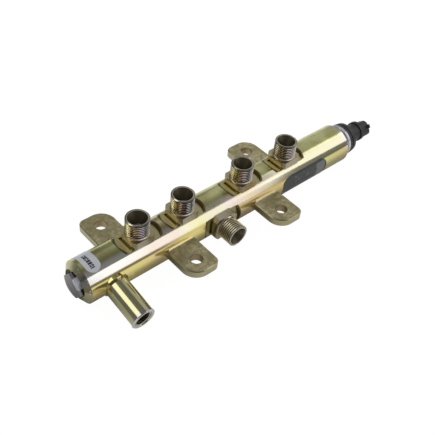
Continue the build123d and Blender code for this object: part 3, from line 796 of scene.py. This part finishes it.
@dataclass(frozen=True)
class PaleLabel(Finish):
    """Pale label skin with one row of bars and rings, spaced along its arc."""

    ink: Colour = (0.02, 0.022, 0.03)
    pitch: float = 1.85
    row_place: float = 9.9
    bar_across: Span = Span(-0.74, 0.74, 0.08)
    bar_tall: Span = Span(-1.45, 1.45, 0.10)
    ring_hole: Edge = Edge(0.50, 0.25)
    ring_stretch: float = 1.9
    ring_chance: float = 0.62
    row_arc: Span = Span(17.6, 29.6, 0.05)
    dotted_arc: Span = Span(18.0, 22.0, 0.6)
    dot_pitch: float = 0.55
    dot_size: float = 0.28
    dot_strength: float = 0.22

    def tint(self, graph: Graph, place: Any) -> Any:
        """Ground with faint dots, then the row of marks in ink."""
        at = graph.group(BOOK.rail_field(), Vector=place)
        along, arc = at["Along"], at["Arc"]
        base = graph.mix(graph.noise(place, 120.0, 2.0), tuple(0.9 * c for c in self.colour), self.colour)
        place_in_row = graph.math("DIVIDE", arc, self.pitch)
        cell = graph.node("ShaderNodeTexWhiteNoise", noise_dimensions="1D")
        graph.put(cell.inputs["W"], graph.math("FLOOR", place_in_row))
        ringed = graph.math("GREATER_THAN", cell.outputs["Value"], self.ring_chance)
        across = graph.centred(graph.math("FRACT", place_in_row), self.pitch)
        tall = graph.math("SUBTRACT", along, self.row_place)
        block = graph.inside((across, self.bar_across), (tall, self.bar_tall))
        stretched = graph.math("MULTIPLY", across, self.ring_stretch)
        reach = graph.math("ADD", graph.math("POWER", stretched, 2.0), graph.math("POWER", tall, 2.0))
        hollow = graph.every(self.ring_hole.mask(graph, reach), ringed)
        solid = graph.math("SUBTRACT", 1.0, hollow)
        waves = (graph.math("PINGPONG", value, self.dot_pitch) for value in (arc, along))
        dots = graph.every(*(graph.math("LESS_THAN", wave, self.dot_size) for wave in waves))
        faint = graph.every(dots, self.dotted_arc.mask(graph, arc), self.dot_strength)
        base = graph.mix(faint, base, (0.50, 0.56, 0.62))
        return graph.mix(graph.every(block, solid, self.row_arc.mask(graph, arc)), base, self.ink)


@dataclass(frozen=True)
class PlugSteel(Finish):
    """Dark phosphated steel, with the spanner flat that faces the front painted bright and matte: a painted
    highlight.
    """

    # Colour of the painted highlight on the front spanner flat.
    flat: Colour = (0.80, 0.82, 0.92)
    lean: float = math.radians(50.0)
    flat_reach: Edge = Edge(4.9, 5.3)
    flat_angle: Span = Span(20.0, 80.0, 2.0)
    # Angle band of the painted purple reflection on the upper flat.
    upper_angle: Span = Span(82.0, 150.0, 4.0)
    behind_face: Edge = Edge(-2.0, -1.6)

    def highlight_flat(self, graph: Graph, place: Any) -> tuple[Any, Any]:
        """Mask of the flat painted bright as a highlight, with the edge of the face beside it, and the angle
        round the rail.
        """
        angle = graph.group(BOOK.rail_field(), Vector=place)["Angle"]
        _, y, z = graph.millimetres(place)
        reach = graph.math("SUBTRACT", graph.math("MULTIPLY", z, math.sin(self.lean)),
                           graph.math("MULTIPLY", y, math.cos(self.lean)))
        return graph.inside((reach, self.flat_reach), (angle, self.flat_angle)), angle

    def metal(self, graph: Graph, place: Any) -> Any:
        """Less mirror-like on the flat painted bright as a highlight."""
        return graph.blend(self.highlight_flat(graph, place)[0], self.metallic, 0.1)

    def tint(self, graph: Graph, place: Any) -> Any:
        """Dark face, purple upper flat as a painted reflection, and one flat painted bright as a painted
        highlight.
        """
        highlight_flat, angle = self.highlight_flat(graph, place)
        x, _, _ = graph.millimetres(place)
        dark = graph.mix(graph.noise(place, 320.0, 3.0), tuple(0.7 * c for c in self.colour), self.colour)
        # The upper flat is painted purple: a painted reflection.
        upper = graph.inside((angle, self.upper_angle), (x, self.behind_face))
        dark = graph.mix(upper, dark, (0.34, 0.28, 0.36))
        return graph.mix(highlight_flat, dark, self.flat)


@dataclass(frozen=True)
class CircuitBoard(Finish):
    """Lacquered board with slanting tracks under the green, one for each millimetre of height."""

    track_width: float = 0.3

    def tint(self, graph: Graph, place: Any) -> Any:
        """Green lacquer with paler tracks."""
        _, y, z = graph.millimetres(place)
        across = graph.math("FRACT", graph.math("ADD", y, z))
        lines = graph.math("LESS_THAN", across, self.track_width)
        return graph.mix(graph.math("MULTIPLY", lines, 0.6), self.colour, (0.08, 0.30, 0.14))


@dataclass(frozen=True)
class ThreadSection:
    """Shares that shape a thread's section: of its depth, or for foot and ridge of its pitch."""

    sunk: float = 0.08
    foot: float = 0.39
    ridge: float = 0.16
    land_shoulder: float = 0.55
    land_edge: float = 0.35


SECTION = ThreadSection()


@dataclass
class Thread:
    """A V thread wound round a stub, or inside a tapped bore."""

    name: str
    root: float
    crest: float
    start: float
    length: float
    place: Point
    turn: tuple[float, float, float]
    land: tuple[float, float] = (0.0, 0.0)
    pitch: float = 1.5
    body: str = RAIL_BODY

    def tree(self) -> bpy.types.NodeTree:
        """Builds the Geometry Nodes tree, once for all threads.

        Returns:
            The tree with named inputs for every size.
        """
        known = bpy.data.node_groups.get("Wound Thread")
        if known:
            return known
        tree = bpy.data.node_groups.new("Wound Thread", "GeometryNodeTree")
        sockets = {
            "Root Radius": "NodeSocketFloat",
            "Crest Radius": "NodeSocketFloat",
            "Pitch": "NodeSocketFloat",
            "Start": "NodeSocketFloat",
            "Length": "NodeSocketFloat",
            "Land Foot": "NodeSocketFloat",
            "Land Tip": "NodeSocketFloat",
            "Has Land": "NodeSocketBool",
            "Place": "NodeSocketVector",
            "Turn": "NodeSocketVector",
            "Finish": "NodeSocketMaterial",
        }
        tree.interface.new_socket("Geometry", in_out="INPUT", socket_type="NodeSocketGeometry")
        for label, kind in sockets.items():
            tree.interface.new_socket(label, in_out="INPUT", socket_type=kind)
        tree.interface.new_socket("Geometry", in_out="OUTPUT", socket_type="NodeSocketGeometry")
        graph = Graph(tree)
        given = graph.node("NodeGroupInput").outputs
        result = graph.node("NodeGroupOutput")
        depth = graph.math("SUBTRACT", given["Crest Radius"], given["Root Radius"])
        sunk = graph.math("MULTIPLY", depth, -SECTION.sunk)
        coil = self.coil(graph, given, depth, sunk)
        both = graph.node("GeometryNodeJoinGeometry")
        graph.put(both.inputs[0], self.ring(graph, given, depth, sunk))
        graph.put(both.inputs[0], coil)
        chosen = graph.node("GeometryNodeSwitch", input_type="GEOMETRY")
        graph.put(chosen.inputs["Switch"], given["Has Land"])
        graph.put(chosen.inputs["False"], coil)
        graph.put(chosen.inputs["True"], both.outputs[0])
        outer = graph.node("GeometryNodeFlipFaces")
        graph.feed(outer, Mesh=chosen.outputs[0], Selection=graph.math("GREATER_THAN", depth, 0.0))
        laid = graph.node("GeometryNodeTransform")
        graph.feed(laid, Geometry=outer.outputs[0], Translation=given["Place"], Rotation=given["Turn"])
        real = graph.node("GeometryNodeRealizeInstances")
        graph.put(real.inputs[0], laid.outputs[0])
        dressed = graph.node("GeometryNodeSetMaterial")
        graph.feed(dressed, Geometry=real.outputs[0], Material=given["Finish"])
        graph.put(result.inputs[0], dressed.outputs[0])
        return tree

    def coil(self, graph: Graph, given: Any, depth: Any, sunk: Any) -> bpy.types.NodeSocket:
        """Winds the ridge, lifted to its start.

        Args:
            graph: The thread's graph.
            given: The tree's inputs.
            depth: How far the crest stands from the root.
            sunk: Where the section's foot lies, a little under the root.

        Returns:
            The ridge's geometry.
        """
        turns = graph.math("DIVIDE", given["Length"], given["Pitch"])
        spiral = graph.node("GeometryNodeCurveSpiral")
        graph.feed(spiral, Resolution=64, Rotations=turns, Height=given["Length"])
        graph.feed(spiral, Start_Radius=given["Root Radius"], End_Radius=given["Root Radius"])
        foot = graph.math("MULTIPLY", given["Pitch"], SECTION.foot)
        ridge = graph.math("MULTIPLY", given["Pitch"], SECTION.ridge)
        low, high = graph.negative(foot), graph.negative(ridge)
        section = self.shape(graph, ((sunk, low), (depth, high), (depth, ridge), (sunk, foot)), False)
        lifted = graph.node("GeometryNodeTransform")
        rise = graph.join(0.0, 0.0, given["Start"])
        graph.feed(lifted, Geometry=self.swept(graph, spiral, section), Translation=rise)
        return lifted.outputs[0]

    def ring(self, graph: Graph, given: Any, depth: Any, sunk: Any) -> bpy.types.NodeSocket:
        """Makes the plain land at the mouth.

        Args:
            graph: The thread's graph.
            given: The tree's inputs.
            depth: How far the crest stands from the root.
            sunk: Where the section's foot lies, a little under the root.

        Returns:
            The land's geometry.
        """
        circle = graph.node("GeometryNodeCurvePrimitiveCircle", mode="RADIUS")
        graph.feed(circle, Resolution=96, Radius=given["Root Radius"])
        foot, tip = given["Land Foot"], given["Land Tip"]
        shoulder = graph.math("ADD", foot, graph.math("MULTIPLY", depth, SECTION.land_shoulder))
        edge = graph.math("SUBTRACT", tip, graph.math("MULTIPLY", depth, SECTION.land_edge))
        section = self.shape(graph, ((sunk, foot), (depth, shoulder), (depth, edge), (sunk, tip)), True)
        return self.swept(graph, circle, section)

    def shape(self, graph: Graph, corners: tuple[tuple[Any, Any], ...], turned: bool) -> bpy.types.Node:
        """Makes a four-cornered section.

        Args:
            graph: The thread's graph.
            corners: Distance out from the root and height of each corner.
            turned: Whether the section is turned half round, as the circle's sweep needs it.

        Returns:
            The section's node.
        """
        section = graph.node("GeometryNodeCurvePrimitiveQuadrilateral", mode="POINTS")
        for number, (out, along) in enumerate(corners, 1):
            spot = (out, graph.negative(along)) if turned else (graph.negative(out), along)
            graph.put(section.inputs[f"Point {number}"], graph.join(*spot, 0.0))
        return section

    def swept(self, graph: Graph, path: bpy.types.Node, section: bpy.types.Node) -> bpy.types.NodeSocket:
        """Sweeps a closed section along an upright path, with capped ends."""
        upright = graph.node("GeometryNodeSetCurveNormal", mode="Z_UP")
        graph.put(upright.inputs["Curve"], path.outputs[0])
        skin = graph.node("GeometryNodeCurveToMesh")
        graph.feed(skin, Curve=upright.outputs[0], Profile_Curve=section.outputs[0], Fill_Caps=True)
        return skin.outputs[0]

    def build(self, finish: bpy.types.Material) -> bpy.types.Object:
        """Winds the thread and bakes it to a plain mesh.

        Args:
            finish: The material it wears.

        Returns:
            The finished piece, riding on its body.
        """
        tree = self.tree()
        carrier = bpy.data.objects.new(self.name, bpy.data.meshes.new(self.name))
        bpy.context.scene.collection.objects.link(carrier)
        modifier = carrier.modifiers.new("thread", "NODES")
        modifier.node_group = tree
        values = {
            "Root Radius": self.root * MM,
            "Crest Radius": self.crest * MM,
            "Pitch": self.pitch * MM,
            "Start": self.start * MM,
            "Length": self.length * MM,
            "Land Foot": self.land[0] * MM,
            "Land Tip": self.land[1] * MM,
            "Has Land": self.land[1] > self.land[0],
            "Place": [v * MM for v in self.place],
            "Turn": list(self.turn),
            "Finish": finish,
        }
        for item in tree.interface.items_tree:
            if item.item_type == "SOCKET" and item.in_out == "INPUT" and item.name in values:
                modifier[item.identifier] = values[item.name]
        graph = bpy.context.evaluated_depsgraph_get()
        mesh = bpy.data.meshes.new_from_object(carrier.evaluated_get(graph))
        carrier.modifiers.clear()
        carrier.data = mesh
        mesh.set_sharp_from_angle(angle=SHARP_ANGLE)
        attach(carrier, self.body)
        LOG.info("%s: %d faces", self.name, len(mesh.polygons))
        return carrier


@dataclass
class Rail:
    """The forging with its stubs, return tube and threads."""

    foot: float = 18.7
    mouth: float = 30.0
    land: float = 0.7
    root: float = 7.08
    crest: float = 8.0
    stub_x: float = 20.5
    stub_tilt: float = 9.2
    stub_tip: float = 43.2
    run_in: float = 0.1
    tip_gap: float = 0.01
    bore_root: float = 6.0
    bore_crest: float = 5.2
    bore_depth: float = 15.0
    bore_length: float = 14.2

    def dress(self) -> None:
        """Puts the plating on the forging and the tube."""
        forging = Plating("plating", (0.7, 0.6, 0.35), 0.12, spread=0.05)
        wear(("rail_body",), forging.material())
        tube = TubePlating("tube_plating", (0.6, 0.58, 0.33), 0.12, spread=0.04)
        wear(("return_stub",), tube.material())

    def threads(self) -> None:
        """Winds the five male threads and the tapped bore's thread."""
        film = ThreadFilm("thread_film", (0.7, 0.6, 0.35), 0.2, spread=0.06, bump=0.04).material()
        for number, x in enumerate(OUTLET_X, 1):
            self.wind(f"outlet_thread_{number}", (x, 0.0, 0.0), Axis.UP, film)
        self.wind("inlet_thread", (INLET_X, 0.0, 0.0), Axis.FRONT, film)
        turn = (math.radians(90.0 + self.stub_tilt), 0.0, 0.0)
        bore = Finish("bore_thread", (0.55, 0.53, 0.44), 0.25).material()
        start = self.stub_tip - self.bore_depth
        sizes = (self.bore_root, self.bore_crest, start, self.bore_length)
        Thread("return_thread", *sizes, (self.stub_x, 0, 0), turn).build(bore)

    def wind(self, name: str, place: Point, axis: Axis, film: bpy.types.Material) -> None:
        """Winds one male thread from the foot ring to the plain land at the mouth."""
        land = (self.mouth - self.land, self.mouth - self.tip_gap)
        start = self.foot + self.run_in
        length = land[0] - start
        Thread(name, self.root, self.crest, start, length, place, axis.value, land=land).build(film)


def wear(nodes: tuple[str, ...], material: bpy.types.Material) -> None:
    """Puts a material on every slot of some CAD nodes."""
    for node in nodes:
        piece = FRAME["nodes"][node]
        if not piece.material_slots:
            piece.data.materials.append(material)
        for slot in piece.material_slots:
            slot.material = material


@dataclass
class Sensor:
    """Pressure sensor: steel hexagon, black connector and what they hold."""

    def dress(self) -> None:
        """Puts steel, plastic, board and tin on the sensor's pieces."""
        steel = Finish("bright_steel", (0.66, 0.66, 0.68), 0.42, spread=0.08)
        wear(("sensor_base", "sensor_diaphragm"), steel.material())
        shell = Finish(
            "black_plastic", (0.024, 0.025, 0.028), 0.42, metallic=0.0, grain=1600.0, bump=0.12
        )
        wear(("sensor_housing",), shell.material())
        wear(("sensor_board",), CircuitBoard("board", (0.03, 0.16, 0.07), 0.3, metallic=0.0).material())
        pins = tuple(f"sensor_terminal_{number}" for number in (1, 2, 3))
        wear(pins, Finish("tinned_pin", (0.74, 0.74, 0.71), 0.22).material())


@dataclass
class ReliefValve:
    """Relief valve: plug, shim, spring, poppet and seat."""

    def dress(self) -> None:
        """Puts steels and rubber on the valve's pieces and the press-fit restrictors."""
        plug = PlugSteel("dark_steel", (0.30, 0.29, 0.30), 0.30, spread=0.2, bump=0.06)
        wear(("valve_plug",), plug.material())
        hard = Finish("hard_steel", (0.56, 0.56, 0.57), 0.2).material()
        restrictors = tuple(f"outlet_restrictor_{number}" for number in (1, 2, 3, 4))
        wear(("valve_shim", "valve_seat", "valve_poppet", *restrictors), hard)
        wear(("valve_spring",), Finish("spring_steel", (0.42, 0.41, 0.42), 0.3).material())
        rubber = Finish("seal_rubber", (0.022, 0.022, 0.022), 0.6, metallic=0.0, bump=0.1)
        wear(("valve_plug_o_ring", "sensor_seal"), rubber.material())


@dataclass
class Labels:
    """The two label skins on the rail."""

    def dress(self) -> None:
        """Puts a pale print on the top label and a dark one on the front label."""
        pale = PaleLabel("pale_label", (0.84, 0.86, 0.92), 0.34, metallic=0.0, bump=0.0)
        wear(("label_top",), pale.material())
        dark = DarkLabel("dark_label", (0.058, 0.062, 0.063), 0.32, metallic=0.0, bump=0.0)
        wear(("label_front",), dark.material())


@dataclass(frozen=True)
class Softbox:
    """A rectangular lamp that faces the rail's middle."""

    name: str
    toward: Point
    size: tuple[float, float]
    radiance: float
    roll: float = 0.0
    distance: float = 1.2

    def hang(self, centre: Vector) -> None:
        """Adds the lamp.

        Args:
            centre: The point it faces, in metres.
        """
        data = bpy.data.lights.new(self.name, "AREA")
        data.shape = "RECTANGLE"
        data.size, data.size_y = self.size
        data.energy = self.radiance * self.size[0] * self.size[1] * math.pi
        out = Vector(self.toward).normalized()
        level = Vector((0, 0, 1)).cross(out).normalized()
        rise = out.cross(level)
        turn = math.radians(self.roll)
        wide = level * math.cos(turn) + rise * math.sin(turn)
        high = rise * math.cos(turn) - level * math.sin(turn)
        body = bpy.data.objects.new(self.name, data)
        frame = Matrix((wide, high, out)).transposed().to_4x4()
        body.matrix_world = Matrix.Translation(centre + out * self.distance) @ frame
        bpy.context.scene.collection.objects.link(body)


@dataclass(frozen=True)
class FloorLook:
    """Pale matte floor, white to the camera; in mirror images it glows away from the rail and at the sensor
    end, with a painted shadow next to the rail.
    """

    grey: float = 0.85
    glow: float = 1.08
    seen: float = 0.9
    mirrored: float = 0.72
    front: Edge = Edge(0.0, -80.0)
    rear: Edge = Edge(0.0, 35.0)
    lit_side: Edge = Edge(-130.0, -30.0)
    sensor_end: Edge = Edge(248.0, 275.0)
    sensor_side: Edge = Edge(-25.0, 5.0)

    def material(self) -> bpy.types.Material:
        """Builds the material.

        Returns:
            The finished material.
        """
        made = bpy.data.materials.new("floor")
        made.use_nodes = True
        made.node_tree.nodes.clear()
        graph = Graph(made.node_tree)
        matte = graph.node("ShaderNodeBsdfDiffuse")
        graph.feed(matte, Color=(self.grey, self.grey, self.grey, 1.0))
        glow = graph.node("ShaderNodeEmission")
        graph.feed(glow, Strength=self.glow)
        path = graph.node("ShaderNodeLightPath").outputs
        x, y, _ = graph.millimetres(graph.node("ShaderNodeTexCoord").outputs["Object"])
        # In mirror images the floor next to the rail does not glow: a painted shadow.
        unshadowed_floor = graph.math("MAXIMUM", self.front.mask(graph, y), self.rear.mask(graph, y))
        bright_end = graph.inside((x, self.sensor_end), (y, self.sensor_side))
        clear = graph.math("MAXIMUM", unshadowed_floor, bright_end)
        seen = graph.math("MULTIPLY", path["Is Camera Ray"], self.seen)
        lit_side = self.lit_side.mask(graph, x)
        mirrored = graph.every(path["Is Glossy Ray"], clear, lit_side, self.mirrored)
        share = graph.math("ADD", seen, mirrored, clamp=True)
        output = graph.node("ShaderNodeOutputMaterial")
        graph.feed(output, Surface=graph.mix_shaders(share, matte, glow))
        return made


@dataclass
class Studio:
    """Pale floor, soft lamps and the camera."""

    target: Point = (112.41, -5.62, -3.67)
    distance: float = 481.23
    azimuth: float = 46.66
    elevation: float = 44.3
    roll: float = 7.32
    focal_px: float = 691.07
    frame_px: float = 435.0
    floor_reach: float = 6.0
    room_grey: float = 0.19
    lamps: tuple[Softbox, ...] = (
        Softbox("left_front_softbox", (0.439, -0.747, 0.482), (0.529, 0.79), 1.02, roll=-14.5),
        Softbox("right_softbox", (0.819, -0.279, 0.502), (0.722, 0.869), 1.04, roll=-56.8),
        Softbox("low_card", (0.53, -0.842, 0.10), (0.30, 0.25), 0.72),
        Softbox("left_strip", (-0.53, 0.30, 0.79), (0.60, 0.72), 1.5),
        Softbox("thread_card", (-0.09, 0.42, 0.90), (0.40, 0.22), 3.8),
        Softbox("back_fill", (0.78, 0.40, 0.45), (1.4, 1.2), 0.34),
    )

    def camera(self) -> None:
        """Places the camera by azimuth, elevation and roll about its target."""
        az, el, roll = (math.radians(v) for v in (self.azimuth, self.elevation, self.roll))
        back = Vector((-math.sin(az) * math.cos(el), -math.cos(az) * math.cos(el), math.sin(el)))
        right = (-back).cross(Vector((0, 0, 1))).normalized()
        up = right.cross(-back)
        side = right * math.cos(roll) + up * math.sin(roll)
        top = up * math.cos(roll) - right * math.sin(roll)
        spot = (Vector(self.target) + back * self.distance) * MM
        lens = bpy.data.cameras.new("camera")
        lens.sensor_width = SENSOR_WIDTH
        lens.lens = self.focal_px / self.frame_px * SENSOR_WIDTH
        lens.clip_start = 0.01
        body = bpy.data.objects.new("camera", lens)
        body.matrix_world = Matrix.Translation(spot) @ Matrix((side, top, back)).transposed().to_4x4()
        bpy.context.scene.collection.objects.link(body)
        bpy.context.scene.camera = body

    def floor(self, height: float) -> None:
        """Lays the floor under the rail."""
        size = self.floor_reach
        mesh = bpy.data.meshes.new("floor")
        corners = [(x, y, height) for x, y in ((-size, -size), (size, -size), (size, size), (-size, size))]
        mesh.from_pydata(corners, [], [(0, 1, 2, 3)])
        floor = bpy.data.objects.new("floor", mesh)
        bpy.context.scene.collection.objects.link(floor)
        mesh.materials.append(FloorLook().material())
        floor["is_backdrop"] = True

    def world(self) -> None:
        """Fills the room with soft grey light and a white view."""
        world = bpy.data.worlds.new("room")
        bpy.context.scene.world = world
        world.use_nodes = True
        world.node_tree.nodes.clear()
        graph = Graph(world.node_tree)
        path = graph.node("ShaderNodeLightPath").outputs
        room = graph.node("ShaderNodeBackground")
        graph.feed(room, Color=(self.room_grey, self.room_grey, self.room_grey, 1.0))
        view = graph.node("ShaderNodeBackground")
        graph.feed(view, Color=(1.0, 1.0, 1.0, 1.0))
        output = graph.node("ShaderNodeOutputWorld")
        graph.feed(output, Surface=graph.mix_shaders(path["Is Camera Ray"], room, view))

    def build(self, floor_height: float) -> None:
        """Sets up the whole studio."""
        bpy.context.scene.view_settings.view_transform = "Standard"
        self.world()
        self.floor(floor_height)
        centre = Vector(self.target) * MM
        for lamp in self.lamps:
            lamp.hang(centre)
        self.camera()


def main() -> None:
    """Builds every piece."""
    cad_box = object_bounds()
    rail = Rail()
    rail.dress()
    rail.threads()
    ReliefValve().dress()
    Sensor().dress()
    Labels().dress()
    Studio().build(cad_box[0][2])


if __name__ == "__main__":
    logging.basicConfig(level=logging.INFO, format="%(message)s")
    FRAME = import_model()
    main()
